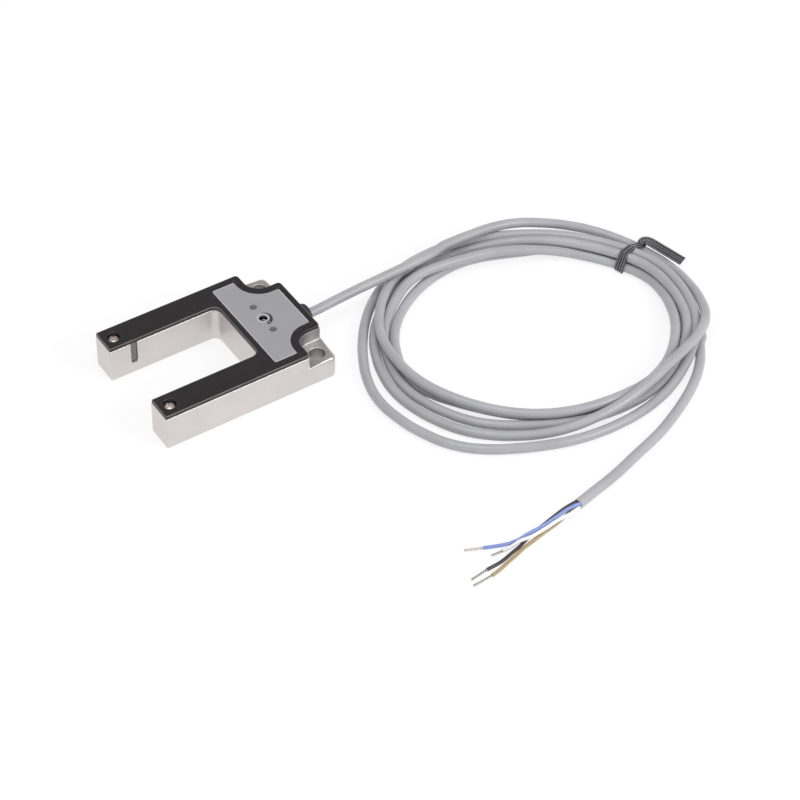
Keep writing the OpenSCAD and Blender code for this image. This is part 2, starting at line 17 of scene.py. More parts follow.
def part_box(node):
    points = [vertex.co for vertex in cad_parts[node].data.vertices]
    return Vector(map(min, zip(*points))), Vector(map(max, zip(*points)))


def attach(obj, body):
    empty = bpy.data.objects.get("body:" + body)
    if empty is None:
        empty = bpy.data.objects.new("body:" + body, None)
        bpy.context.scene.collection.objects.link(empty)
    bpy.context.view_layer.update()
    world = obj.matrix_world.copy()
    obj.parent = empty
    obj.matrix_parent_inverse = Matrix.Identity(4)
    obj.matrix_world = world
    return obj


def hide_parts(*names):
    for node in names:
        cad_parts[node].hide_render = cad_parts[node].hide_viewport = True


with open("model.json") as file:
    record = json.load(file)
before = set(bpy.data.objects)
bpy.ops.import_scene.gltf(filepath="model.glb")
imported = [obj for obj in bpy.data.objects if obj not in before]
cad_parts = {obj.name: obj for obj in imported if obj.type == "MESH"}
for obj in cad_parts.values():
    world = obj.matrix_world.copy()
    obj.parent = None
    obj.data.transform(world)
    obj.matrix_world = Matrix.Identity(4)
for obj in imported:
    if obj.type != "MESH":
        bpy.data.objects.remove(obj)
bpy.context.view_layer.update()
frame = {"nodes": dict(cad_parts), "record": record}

bl_info = {
    "name": "Fork light barrier",
    "version": (1, 0, 0),
    "blender": (4, 5, 0),
    "location": "3D View > Sidebar > Light barrier",
    "description": "Finishes, cable and studio stage of a fork light barrier",
    "category": "Object",
}

BODY = "sensor_body"
MM = 0.001
UP = Vector((0, 0, 1))

# Edges that bend more than this are rounded, and edges of new meshes that bend more stay sharp
ROUNDED_FROM = math.radians(55)
SHARP_FROM = math.radians(40)

# Reach of the cover's notches from the axes of the ear holes
NOTCH_REACH = 8 * MM

# Coil of the cable in millimetres: its centre, and for each turn the radius and the height of
# the axis every 30 degrees, from -X over +Y and +X to -Y
COIL_CENTRE = Vector((47, 108, 0))
COIL_STEP = 30
TURN_RADII = [
    [51, 56, 63, 67.3, 66.3, 55, 52.5, 54, 58.5, 60.5, 58.3, 54.5],
    [51.5, 48, 51, 58, 59.5, 54.7, 50.4, 49, 53, 56, 54.5, 50.7],
    [44, 43, 49, 56.3, 55, 52.8, 48, 47, 48, 52.5, 56.3, 56.5],
    [54, 52, 55, 62, 63, 58.5, 57, 59.5, 66.8, 67.8, 62.5, 60],
    [57, 54, 57, 63.6, 57.5, 50.9, 46.6, 44.5, 45.5, 52, 50.7, 47.6],
    [46, 45.5, 53, 60, 64],
]
TURN_HEIGHTS = [
    [9.5, 8, 4, 3, 7.5, 9, 6, 2.5, 2, 2, 2, 2],
    [2, 5.5, 6, 6, 5.5, 2, 2, 2, 2, 2, 2, 5.7],
    [5.8, 5.5, 2.5, 2.5, 5.5, 5.5, 5.5, 5.5, 5.5, 6, 5.5, 5.5],
    [5, 5.5, 6, 6, 5.5, 2, 2, 2, 2, 2, 2, 2],
    [2, 2, 2.5, 2.5, 2, 2, 2, 2, 2, 2, 2, 2],
    [2, 2, 2.5, 2.5, 2],
]

# Cable from the gland to the coil, and from the coil to the wires, in millimetres
LEAD_ROUTE = [
    (0, 39.5, 8.4), (0, 43, 8.4), (-0.4, 49, 8.5), (-0.9, 56, 8.6), (-1.2, 63, 8.8), (-1.4, 71, 9),
    (-1.5, 79, 9.3), (-1.8, 88, 9.5), (-2.5, 97, 9.5),
]
TAIL_ROUTE = [
    (86.5, 158.5, 2), (93.5, 153, 2), (99, 147, 2), (104, 140, 2), (108, 133, 2), (111.5, 126, 2),
    (115, 118, 2), (117.5, 110.5, 2), (120, 102, 2), (122.5, 94, 2), (124.5, 86.5, 2), (126, 79.5, 2),
    (127.8, 71.6, 2),
]

# Wires from the cut sheath to the end of their insulation, then their bare ends, in millimetres
WIRE_ROUTES = {
    "blue": [
        (128.5, 71.6, 2.7), (128.4, 66, 2.7), (129, 60, 2.2), (129.7, 54, 2), (130, 48, 2.1),
        (129.5, 43.5, 0.7), (128.8, 39, 0.7), (127.4, 35, 0.7), (126, 31.5, 0.7),
    ],
    "white": [
        (128.5, 71.6, 1.3), (130.1, 66, 1.9), (130.6, 60, 2.4), (131.2, 54, 2.1),
        (131.7, 48, 2.2), (131.2, 43.5, 2.1), (131, 40, 1.1), (130.8, 36.5, 0.7),
    ],
    "black": [
        (127.1, 71.6, 2.7), (127, 66, 2), (127.5, 60, 0.8), (128.8, 54, 0.7), (130.2, 48.5, 0.7),
        (131.4, 45, 0.7), (132.3, 42.5, 0.7), (133.3, 38.5, 0.7), (134.6, 33, 0.7), (134.9, 27, 0.7),
    ],
    "brown": [
        (127.1, 71.6, 1.3), (128.6, 66.5, 0.8), (130.3, 60.5, 0.7), (131.5, 54, 0.7), (132.7, 48, 0.7),
        (133.7, 43, 0.7), (134.8, 39.5, 0.7), (136, 35, 0.7), (137.2, 31, 0.7), (138, 27, 0.7),
    ],
}
TIP_ROUTES = {
    "blue": [(126, 31.5, 0.7), (124.7, 28.5, 0.6), (123.3, 25.5, 0.5)],
    "white": [(130.8, 36.5, 0.7), (130.6, 34.2, 0.6), (130.4, 32, 0.5)],
    "black": [(134.9, 27, 0.7), (135.3, 23.5, 0.6), (135.7, 20, 0.5)],
    "brown": [(138, 27, 0.7), (138.2, 23, 0.6), (138.3, 19, 0.5)],
}


def tone(*steps):
    """Linear colour of a tone that is given in a screen's steps from 0 to 255."""
    shares = [step / 255 for step in steps]
    return tuple(s / 12.92 if s <= 0.04045 else ((s + 0.055) / 1.055) ** 2.4 for s in shares)


def colour_value(label, description, default):
    return FloatVectorProperty(
        name=label, description=description, subtype="COLOR", size=3, min=0, max=1, default=default)


def size_value(label, description, default):
    return FloatProperty(
        name=label, description=description, subtype="DISTANCE", unit="LENGTH", min=0, default=default)


# Sizes and colours that a user would change

class HousingLook(PropertyGroup):
    """Looks of the cast housing and of its screws"""
    metal: colour_value("Metal", "Colour of the plated casting", tone(218, 213, 212))
    metal_edge: size_value("Edge rounding", "Rounding of the casting's edges", 0.4 * MM)
    ear_edge: size_value("Ear rounding", "Rounding of the ears' outer top edges", 1.2 * MM)
    grain: size_value("Grain", "Size of the casting's surface grain", 0.3 * MM)
    screw: colour_value("Screws", "Colour of the cover screws", tone(240, 232, 222))


class CoverLook(PropertyGroup):
    """Looks of the cover, the label, the windows and the trimmer"""
    plastic: colour_value("Cover", "Colour of the moulded cover", tone(34, 31, 32))
    # Colour of the painted highlight on the cover's rounded edges
    lightened: colour_value("Highlighted edges", "Colour of the cover's rubbed edges", tone(112, 109, 109))
    plastic_edge: size_value("Edge rounding", "Rounding of the cover's edges", 0.5 * MM)
    label: colour_value("Label", "Colour of the label", tone(153, 152, 157))
    ink: colour_value("Ink", "Colour of the adjusting arrow", tone(56, 55, 59))
    arrow_radius: size_value("Arrow radius", "Inner radius of the adjusting arrow", 2.66 * MM)
    window: colour_value("Indicators", "Colour of the indicator windows", tone(96, 98, 102))
    filter: colour_value("Filter", "Colour of the slit windows", tone(112, 108, 108))
    rotor: colour_value("Rotor", "Colour of the trimmer's rotor", tone(178, 176, 176))


class CableLook(PropertyGroup):
    """Looks and sizes of the cable, the wires and the twist tie"""
    sheath: colour_value("Sheath", "Colour of the cable's sheath", tone(170, 170, 174))
    cable_d: size_value("Cable diameter", "Outer diameter of the cable", 3.8 * MM)
    wire_d: size_value("Wire diameter", "Outer diameter of a wire's insulation", 1.3 * MM)
    tip_d: size_value("Bare end diameter", "Diameter of a bare end's strands together", 0.9 * MM)
    blue: colour_value("Blue wire", "Colour of the blue wire", tone(132, 150, 210))
    white: colour_value("White wire", "Colour of the white wire", tone(232, 232, 232))
    black: colour_value("Black wire", "Colour of the black wire", tone(66, 60, 62))
    brown: colour_value("Brown wire", "Colour of the brown wire", tone(168, 148, 110))
    rubber: colour_value("Gland", "Colour of the rubber gland", tone(44, 44, 45))
    tie: colour_value("Twist tie", "Colour of the twist tie", tone(52, 52, 54))
    # Colour of the painted highlight along the twist tie's ribs
    tie_rib_highlight: colour_value("Tie ribs", "Colour of the twist tie's rubbed ribs", tone(166, 166, 170))


class StageLook(PropertyGroup):
    """Light, floor and camera of the studio"""
    floor: colour_value("Floor", "Colour of the floor", (0.97, 0.97, 0.97))
    lamp: FloatProperty(
        name="Lamp", description="Power of the soft lamp overhead", unit="POWER", min=0, default=5)
    side_lamp: FloatProperty(
        name="Side lamp", description="Power of the lamp that lights the edges", unit="POWER",
        min=0, default=4)
    fill: FloatProperty(
        name="Surroundings", description="Light that comes from all around", subtype="FACTOR",
        min=0, max=1, default=0.66)
    lens: FloatProperty(
        name="Lens", description="Focal length on a sensor 36 mm wide", unit="CAMERA", min=1,
        default=110.6)
    roll: FloatProperty(
        name="Roll", description="Turn of the camera about its own axis", subtype="ANGLE",
        default=math.radians(1.88))
    camera_place: FloatVectorProperty(
        name="Camera", description="Place of the camera", subtype="TRANSLATION", unit="LENGTH", size=3,
        default=(0.5744, -0.3191, 0.6311))
    camera_aim: FloatVectorProperty(
        name="Aim", description="Point on the floor that the camera looks at", subtype="TRANSLATION",
        unit="LENGTH", size=3, default=(0.04965, 0.048, 0))


# Shader maths

class Field:
    """A socket of a node tree. Python's operators on it add Math nodes."""

    def __init__(self, tree, socket=None):
        self.tree = tree
        self.socket = socket

    def node(self, kind, settings=None, sockets=None, output=0):
        """Add a node: its settings first, then the values or links of its sockets."""
        made = self.tree.nodes.new(kind)
        for name, value in (settings or {}).items():
            setattr(made, name, value)
        for name, value in (sockets or {}).items():
            self.feed(made.inputs[name], value)
        return Field(self.tree, made.outputs[output])

    def feed(self, target, value):
        """Link a field to a socket, or set the socket's own value."""
        if isinstance(value, Field):
            self.tree.links.new(value.socket, target)
        elif target.type == "RGBA":
            target.default_value = (*value[:3], 1)
        else:
            target.default_value = value

    def part(self, output):
        """Another output of this field's node."""
        return Field(self.tree, self.socket.node.outputs[output])

    def math(self, operation, *values):
        return self.node("ShaderNodeMath", {"operation": operation}, dict(enumerate(values)))

    def mix(self, low, high):
        """Colour between two colours, where this field is the share of the second."""
        return self.node("ShaderNodeMix", {"data_type": "RGBA"}, {0: self, 6: low, 7: high}, 2)

    def span(self, low, high):
        """How far the field has come from low to high, eased, from 0 to 1."""
        return self.node("ShaderNodeMapRange", {"interpolation_type": "SMOOTHSTEP"},
                         {"Value": self, "From Min": low, "From Max": high})

    def __add__(self, other):
        return self.math("ADD", self, other)

    __radd__ = __add__

    def __sub__(self, other):
        return self.math("SUBTRACT", self, other)

    def __rsub__(self, other):
        return self.math("SUBTRACT", other, self)

    def __mul__(self, other):
        return self.math("MULTIPLY", self, other)

    __rmul__ = __mul__

    def __truediv__(self, other):
        return self.math("DIVIDE", self, other)

    def __pow__(self, other):
        return self.math("POWER", self, other)

    def __lt__(self, other):
        return self.math("LESS_THAN", self, other)

    def __gt__(self, other):
        return self.math("GREATER_THAN", self, other)

    def __abs__(self):
        return self.math("ABSOLUTE", self)


class Finish:
    """A material with its shader, and the place on the piece as a field."""

    def __init__(self, name, **constants):
        self.material = bpy.data.materials.new(name)
        self.material.use_nodes = True
        tree = self.material.node_tree
        self.shader = tree.nodes["Principled BSDF"]
        self.start = Field(tree)
        self.place = self.start.node("ShaderNodeTexCoord", output="Object")
        for socket, value in constants.items():
            self.set(socket.replace("_", " "), value)

    def set(self, socket, value):
        self.start.feed(self.shader.inputs[socket], value)

    def noise(self, size, detail):
        """Noise with spots of about the given size."""
        sockets = {"Vector": self.place, "Scale": 1 / size, "Detail": detail}
        return self.start.node("ShaderNodeTexNoise", None, sockets)

    def specks(self, size):
        """Distance from scattered points that lie about the given size apart, in that size."""
        return self.start.node("ShaderNodeTexVoronoi", None, {"Vector": self.place, "Scale": 1 / size})

    def bump(self, height, depth):
        sockets = {"Strength": 1.0, "Distance": depth, "Height": height}
        self.set("Normal", self.start.node("ShaderNodeBump", None, sockets))

    def axes(self, centre=(0, 0, 0)):
        """X, Y and Z from a centre, as three fields."""
        offset = self.start.node("ShaderNodeVectorMath", {"operation": "SUBTRACT"},
                                 {0: self.place, 1: centre})
        x = self.start.node("ShaderNodeSeparateXYZ", None, {0: offset})
        return x, x.part(1), x.part(2)


def shaded(colour, share):
    """A colour made darker or lighter by a share of itself."""
    return tuple(min(value * share, 1) for value in colour)


# Finishes

def from_pair(finish, centre, spacing):
    """Distance from the nearer of two upright axes that stand a spacing apart along X, as a field."""
    x, y, _ = finish.axes(centre)
    across = abs(x) - spacing / 2
    return (across * across + y * y) ** 0.5


def from_ear_holes(finish):
    """Distance from the axis of the nearer ear hole, as a field."""
    holes = ear_holes()
    return from_pair(finish, holes["pos_m"], MM * holes["dims"]["spacing_x_mm"])


def casting_finish(look):
    """Plated die casting: satin metal with a fine grain, faint clouds and a few pits.

    The walls of the notches are painted a darker grey as painted shade, with a stronger grain bump, and
    the bores of the ears are painted darker as painted shade.
    """
    finish = Finish("plated_casting", Metallic=1.0)
    clouds = finish.noise(9 * MM, 3)
    grain = finish.noise(look.grain, 4)
    pits = 1 - finish.specks(3.4 * MM).span(0.02, 0.06)
    from_hole = from_ear_holes(finish)
    # Painted shade: inside the ears' bores the metal is painted darker.
    bore = from_hole < MM * (ear_holes()["dims"]["hole_r_mm"] + 0.05)
    # Painted shade: on the notch walls around the holes, above the ears' tops, the metal is painted a
    # darker grey with grain; the grain bump is stronger there too.
    notch_shade_and_grain = (from_hole < 8.2 * MM) * (finish.axes()[2] > 9.3 * MM)
    clean = clouds.span(0.3, 0.7).mix(shaded(look.metal, 0.97), shaded(look.metal, 1.03))
    pitted = (pits * 0.4).mix(clean, shaded(look.metal, 0.4))
    with_bore_shade = bore.mix(pitted, shaded(look.metal, 0.7))
    painted_notch_shade = grain.span(0.35, 0.7).mix(tone(132, 132, 133), tone(176, 175, 176))
    finish.set("Base Color", notch_shade_and_grain.mix(with_bore_shade, painted_notch_shade))
    finish.set("Roughness", 0.34 + 0.16 * grain + 0.04 * clouds)
    finish.bump(grain * (1 + 2 * notch_shade_and_grain) - pits, 0.012 * MM)
    return finish.material


def moulded_finish(name, colour, roughness, grain=0.25 * MM, depth=0.006 * MM, **constants):
    """Moulded plastic, rubber or resin: a grain from the mould and a faint mottle."""
    finish = Finish(name, **constants)
    clouds = finish.noise(30 * grain, 3)
    fine = finish.noise(grain, 3)
    share = clouds.span(0.3, 0.7) * 0.6 + fine * 0.4
    finish.set("Base Color", share.mix(shaded(colour, 0.88), shaded(colour, 1.12)))
    finish.set("Roughness", roughness - 0.06 + 0.12 * fine)
    finish.bump(fine, depth)
    return finish.material


def cover_finish(look):
    """Moulded plastic with a fine grain, whose rounded outer edges are painted lighter as a painted
    highlight.
    """
    finish = Finish("cover_plastic")
    low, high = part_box("cover_screws")
    from_screw = from_pair(finish, (low + high) / 2, (high.x - low.x) - (high.y - low.y))
    off_screws = from_screw > 3.5 * MM
    off_notches = from_ear_holes(finish) > NOTCH_REACH
    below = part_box("top_cover")[1].z - finish.axes()[2]
    outer = below.span(0.01 * MM, 0.03 * MM) * off_notches * off_screws
    grain = finish.noise(0.22 * MM, 3)
    clouds = finish.noise(5 * MM, 3).span(0.3, 0.7)
    normal = finish.start.node("ShaderNodeTexCoord", output="Normal")
    lift = finish.start.node("ShaderNodeSeparateXYZ", None, {0: normal}, 2)
    # Painted highlight: the rounded outer edges of the top, away from the notches and the screws'
    # pockets, are painted lighter and mottled.
    edge = outer * (1 - lift.span(0.82, 0.97)) * lift.span(0.2, 0.45)
    plain = (0.6 * clouds + 0.4 * grain).mix(shaded(look.plastic, 0.88), shaded(look.plastic, 1.12))
    finish.set("Base Color", (edge * (0.55 + 0.45 * clouds)).mix(plain, look.lightened))
    finish.set("Roughness", 0.32 + 0.12 * grain)
    finish.bump(grain, 0.01 * MM)
    return finish.material


def label_finish(look, hole):
    """Satin label with an adjusting arrow, whose border and a ring around the trimmer's hole are
    painted lighter as painted highlights.
    """
    finish = Finish("satin_label")
    low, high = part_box("label_plate")
    x, y, _ = finish.axes((low + high) / 2)
    to_side = (high.x - low.x) / 2 - abs(x)
    to_end = (high.y - low.y) / 2 - abs(y)
    # Painted highlight: a thin border along the label's edges is painted lighter.
    border_highlight = to_side.math("MINIMUM", to_side, to_end) < 0.38 * MM
    x, y, _ = finish.axes(hole)
    radius = (x * x + y * y) ** 0.5
    # Painted highlight: a ring on the label around the trimmer's hole is painted lighter.
    ring = radius < 2.35 * MM
    # The arrow widens from its tail to its head, where a dot stays open
    tail_angle, head_angle = math.radians(165), math.radians(-1)
    share = (tail_angle - finish.start.math("ARCTAN2", y, x)) / (tail_angle - head_angle)
    out = radius - look.arrow_radius
    inside = out + 0.3 * MM * share < 0
    outside = out > 0.12 * MM + 1.25 * MM * share
    wedge = (1 - inside) * (1 - outside) * (share > 0) * (share < 1)
    dot_angle, dot_distance, dot_radius = math.radians(18), 3.15 * MM, 0.36 * MM
    dot_x = x - dot_distance * math.cos(dot_angle)
    dot_y = y - dot_distance * math.sin(dot_angle)
    ink = wedge * ((dot_x * dot_x + dot_y * dot_y) ** 0.5 > dot_radius)
    grain = finish.noise(0.12 * MM, 2)
    clouds = finish.noise(6 * MM, 3)
    paper = (0.5 * grain + 0.5 * clouds).mix(shaded(look.label, 0.94), shaded(look.label, 1.06))
    paper_with_highlights = ring.mix(border_highlight.mix(paper, shaded(look.label, 1.5)), shaded(look.label, 1.4))
    finish.set("Base Color", ink.mix(paper_with_highlights, look.ink))
    finish.set("Roughness", 0.34 + 0.1 * grain + 0.12 * ink)
    finish.bump(grain + 2 * ink, 0.003 * MM)
    return finish.material


def screw_finish(look):
    """Passivated steel with fine turning marks and rubbed spots."""
    finish = Finish("screw_steel", Metallic=1.0)
    grain = finish.noise(0.15 * MM, 4)
    lightened = finish.noise(0.9 * MM, 2).span(0.45, 0.7)
    finish.set("Base Color", lightened.mix(shaded(look.screw, 0.85), shaded(look.screw, 1.1)))
    finish.set("Roughness", 0.3 + 0.18 * grain)
    finish.bump(grain, 0.008 * MM)
    return finish.material


def sheath_finish(name, colour, roughness=0.3):
    """Extruded soft sheath: faint clouds, a fine skin and a few scuffs."""
    finish = Finish(name)
    clouds = finish.noise(14 * MM, 3)
    skin = finish.noise(0.35 * MM, 3)
    scuffs = finish.noise(2.5 * MM, 5).span(0.6, 0.72)
    clean = clouds.span(0.3, 0.7).mix(shaded(colour, 0.95), shaded(colour, 1.04))
    finish.set("Base Color", (scuffs * 0.25).mix(clean, shaded(colour, 0.84)))
    finish.set("Roughness", roughness - 0.05 + 0.1 * skin + 0.08 * scuffs)
    finish.bump(skin, 0.008 * MM)
    return finish.material


def tinned_finish():
    """Tinned copper strands, slightly dull."""
    finish = Finish("tinned_strands", Metallic=1.0)
    grain = finish.noise(0.2 * MM, 3)
    finish.set("Base Color", grain.mix(tone(190, 187, 183), tone(235, 232, 228)))
    finish.set("Roughness", 0.22 + 0.2 * grain)
    finish.bump(grain, 0.01 * MM)
    return finish.material


def tie_finish(look):
    """Ribbed plastic strip whose ribs are painted lighter as a painted highlight."""
    finish = Finish("tie_plastic")
    rib = finish.start.node("ShaderNodeAttribute", {"attribute_name": "rib"}, output="Fac")
    grain = finish.noise(0.3 * MM, 3)
    # Painted highlight: the marked rib vertices are painted lighter, mottled by the grain.
    lightened = rib.span(0.3, 1) * (0.55 + 0.45 * grain.span(0.35, 0.65))
    plain = grain.mix(shaded(look.tie, 0.8), shaded(look.tie, 1.2))
    finish.set("Base Color", lightened.mix(plain, look.tie_rib_highlight))
    finish.set("Roughness", 0.28 + 0.12 * grain)
    finish.bump(grain, 0.006 * MM)
    return finish.material


def board_finish():
    """Green solder mask over copper traces."""
    finish = Finish("solder_mask", Coat_Weight=0.3)
    cells = finish.start.node("ShaderNodeTexVoronoi", {"feature": "DISTANCE_TO_EDGE"},
                              {"Vector": finish.place, "Scale": 1 / (1.8 * MM)})
    traces = cells < 0.12
    grain = finish.noise(0.2 * MM, 2)
    finish.set("Base Color", traces.mix(tone(18, 82, 44), tone(52, 128, 70)))
    finish.set("Roughness", 0.34 + 0.1 * grain)
    finish.bump(traces, 0.03 * MM)
    return finish.material


def ribbon_finish():
    """Flat cable with ridges over its wires, painted darker in its grooves as painted shade."""
    finish = Finish("flat_cable")
    _, _, z = finish.axes()
    ridges = z.math("SINE", z * (2 * math.pi / (1.27 * MM))) * 0.5 + 0.5
    # Painted shade: the grooves between the ridges are painted darker and the ridges lighter.
    finish.set("Base Color", ridges.mix(tone(128, 128, 130), tone(186, 186, 188)))
    finish.set("Roughness", 0.45 + 0.1 * ridges)
    finish.bump(ridges, 0.2 * MM)
    return finish.material


# Meshes


def ear_holes():
    """The record's mount for the two screw holes."""
    return next(mount for mount in frame["record"]["mounts"] if mount["name"] == "ear_holes")


def gap_to_hole(place):
    """Distance of a place from the axis of the nearer ear hole."""
    holes = ear_holes()
    across = abs(place.x) - MM * holes["dims"]["spacing_x_mm"] / 2
    return math.hypot(across, place.y - holes["pos_m"][1])


def add_piece(name, data, material, body=BODY):
    """Show a mesh or a curve as a piece that rides on a body."""
    piece = bpy.data.objects.new(name, data)
    bpy.context.scene.collection.objects.link(piece)
    data.materials.append(material)
    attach(piece, body)
    return piece


def paint(node, material):
    """Give a CAD node that stays as it is its finish."""
    slots = frame["nodes"][node].data.materials
    slots.clear()
    slots.append(material)


def middle_of(edge):
    return (edge.verts[0].co + edge.verts[1].co) / 2


def rounded_copy(node, width, material, body=BODY, segments=3, cuts=(), share=None):
    """A copy of a CAD node with rounded edges, which stands for the node.

    share gives the part of the width that an edge takes, and cuts are planes that split edges for it.
    """
    form = bmesh.new()
    form.from_mesh(frame["nodes"][node].data)
    bmesh.ops.remove_doubles(form, verts=form.verts, dist=0.001 * MM)
    for place, normal in cuts:
        everything = form.verts[:] + form.edges[:] + form.faces[:]
        bmesh.ops.bisect_plane(form, geom=everything, plane_co=place, plane_no=normal)
    weight = form.edges.layers.float.new("bevel_weight_edge")
    for edge in form.edges:
        bent = edge.calc_face_angle(0) > ROUNDED_FROM
        edge[weight] = bent and (share(edge) if share else 1)
    mesh = bpy.data.meshes.new(node + "_rounded")
    form.to_mesh(mesh)
    form.free()
    mesh.shade_smooth()
    piece = add_piece(node + "_rounded", mesh, material, body)
    edges = piece.modifiers.new("Rounded edges", "BEVEL")
    edges.limit_method = "WEIGHT"
    edges.width = width
    edges.segments = segments
    edges.use_clamp_overlap = False
    edges.loop_slide = False
    shading = piece.modifiers.new("Even shading", "WEIGHTED_NORMAL")
    shading.keep_sharp = True
    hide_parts(node)
    return piece


def level_frames(path):
    """Sideways and upward directions at each point of a path that never runs straight up."""
    frames = []
    for i, _ in enumerate(path):
        ahead = path[min(i + 1, len(path) - 1)] - path[max(i - 1, 0)]
        side = ahead.cross(UP).normalized()
        frames.append((side, side.cross(ahead).normalized()))
    return frames


def sweep(form, path, frames, profile, closed=False):
    """Add a profile swept along a path to a bmesh, as a closed loop or with both ends shut.

    Returns the vertices of the profile at each point of the path.
    """
    rings = []
    for place, (side, up) in zip(path, frames):
        rings.append([form.verts.new(place + a * side + b * up) for a, b in profile])
    count = len(rings) if closed else len(rings) - 1
    for i in range(count):
        near, far = rings[i], rings[(i + 1) % len(rings)]
        for k, _ in enumerate(profile):
            n = (k + 1) % len(profile)
            form.faces.new((near[k], near[n], far[n], far[k]))
    if not closed:
        form.faces.new(rings[0][::-1])
        form.faces.new(rings[-1])
    return rings


def round_profile(radius, sides):
    turns = [2 * math.pi * k / sides for k in range(sides)]
    return [(radius * math.cos(turn), radius * math.sin(turn)) for turn in turns]


def finished_mesh(form, name):
    """Mesh of a bmesh, smooth apart from its sharp edges."""
    bmesh.ops.recalc_face_normals(form, faces=form.faces)
    mesh = bpy.data.meshes.new(name)
    form.to_mesh(mesh)
    form.free()
    mesh.shade_smooth()
    mesh.set_sharp_from_angle(angle=SHARP_FROM)
    return mesh


# Routes

def in_metres(points):
    return [MM * Vector(point) for point in points]


def heading(angle):
    """Level direction at an angle from +X."""
    return Vector((math.cos(angle), math.sin(angle), 0))


def coil_points():
    """The cable's axis on the coil, turn after turn."""
    points = []
    for radii, heights in zip(TURN_RADII, TURN_HEIGHTS):
        for step, (radius, height) in enumerate(zip(radii, heights)):
            outward = heading(math.radians(180 - COIL_STEP * step))
            points.append(MM * (COIL_CENTRE + radius * outward + height * UP))
    return points


def smooth_route(points, parts, floor_gap):
    """Points on a smooth curve through the given ones, which stays above the floor."""
    last = len(points) - 1
    route = []
    for i in range(last):
        a, b, c, d = (points[k] for k in (max(i - 1, 0), i, i + 1, min(i + 2, last)))
        for part in range(parts):
            u = part / parts
            bend = 2 * a - 5 * b + 4 * c - d + u * (3 * (b - c) + d - a)
            route.append(b + u / 2 * (c - a + u * bend))
    route.append(points[last].copy())
    for place in route:
        place.z = max(place.z, floor_gap)
    return route


def cable_route(look):
    points = in_metres(LEAD_ROUTE) + coil_points() + in_metres(TAIL_ROUTE)
    return smooth_route(points, 3, look.cable_d / 2)


def route_length(route):
    return sum((b - a).length for a, b in zip(route, route[1:]))


def add_cord(name, route, diameter, material):
    """Round cord along a route, as a curve of one open spline."""
    curve = bpy.data.curves.new(name, "CURVE")
    curve.dimensions = "3D"
    curve.bevel_depth = diameter / 2
    curve.bevel_resolution = 6
    curve.resolution_u = 4
    curve.use_fill_caps = True
    spline = curve.splines.new("BEZIER")
    spline.bezier_points.add(len(route) - 1)
    for point, place in zip(spline.bezier_points, route):
        point.co = place
        point.handle_left_type = "AUTO"
        point.handle_right_type = "AUTO"
    return add_piece(name, curve, material)


# Operators

class FORK_OT_stage(Operator):
    """Set the camera, the floor, the lamps and the white surroundings"""
    bl_idname = "fork_barrier.stage"
    bl_label = "Stage"

    def execute(self, context):
        look = context.scene.fork_stage
        context.scene.view_settings.view_transform = "Standard"
        self.add_camera(context.scene, look)
        self.add_floor(context.scene, look)
        self.add_lamps(context.scene, look)
        self.add_surroundings(context.scene, look)
        return {"FINISHED"}

    def add_camera(self, scene, look):
        data = bpy.data.cameras.new("studio_camera")
        data.lens = look.lens
        data.sensor_width = 36
        data.clip_start = 0.01
        camera = bpy.data.objects.new("studio_camera", data)
        place = Vector(look.camera_place)
        level = (Vector(look.camera_aim) - place).to_track_quat("-Z", "Y")
        camera.location = place
        camera.rotation_mode = "QUATERNION"
        camera.rotation_quaternion = level @ Quaternion((0, 0, 1), look.roll)
        scene.collection.objects.link(camera)
        scene.camera = camera

    def add_floor(self, scene, look):
        reach = 4
        mesh = bpy.data.meshes.new("studio_floor")
        corners = [(-reach, -reach, 0), (reach, -reach, 0), (reach, reach, 0), (-reach, reach, 0)]
        mesh.from_pydata(corners, [], [(0, 1, 2, 3)])
        floor = bpy.data.objects.new("studio_floor", mesh)
        scene.collection.objects.link(floor)
        finish = Finish("pale_floor", Roughness=0.9)
        finish.set("Base Color", look.floor)
        glow = finish.start.node("ShaderNodeEmission", None, {"Color": (1, 1, 1), "Strength": 1.0})
        seen = self.seen(finish.start)
        lit = Field(finish.material.node_tree, finish.shader.outputs[0])
        surface = finish.start.node("ShaderNodeMixShader", None, {0: 0.8 * seen, 1: lit, 2: glow})
        finish.start.feed(finish.material.node_tree.nodes["Material Output"].inputs["Surface"], surface)
        mesh.materials.append(finish.material)

    def add_lamps(self, scene, look):
        """A wide lamp overhead, and a smaller one behind the object's right side for its edges."""
        aim = Vector((0.05, 0.08, 0))
        lamps = {
            "soft_lamp": (look.lamp, 0.8, (0.1, -0.2, 1.3)),
            "side_lamp": (look.side_lamp, 0.5, (0.77, 0.45, 0.64)),
        }
        for name, (power, size, place) in lamps.items():
            data = bpy.data.lights.new(name, "AREA")
            data.shape = "DISK"
            data.size = size
            data.energy = power
            lamp = bpy.data.objects.new(name, data)
            lamp.location = place
            lamp.rotation_mode = "QUATERNION"
            lamp.rotation_quaternion = (aim - lamp.location).to_track_quat("-Z", "Y")
            scene.collection.objects.link(lamp)

    def add_surroundings(self, scene, look):
        """White down to the floor and greyer overhead for what is seen, even light for the rest."""
        world = bpy.data.worlds.new("studio")
        world.use_nodes = True
        scene.world = world
        start = Field(world.node_tree)
        direction = start.node("ShaderNodeTexCoord", output="Generated")
        height = start.node("ShaderNodeSeparateXYZ", None, {0: direction}, 2)
        overhead = (0.26, 0.26, 0.26)
        backdrop = height.span(0.2, 0.6).mix((1, 1, 1), overhead)
        even = (look.fill, look.fill, look.fill)
        light = self.seen(start).mix(even, backdrop)
        start.feed(world.node_tree.nodes["Background"].inputs["Color"], light)

    def seen(self, start):
        """1 on rays from the camera, from metal and through clear parts, 0 on those that light."""
        camera = start.node("ShaderNodeLightPath", output="Is Camera Ray")
        seen = camera.math("MAXIMUM", camera, camera.part("Is Glossy Ray"))
        return seen.math("MAXIMUM", seen, camera.part("Is Transmission Ray"))


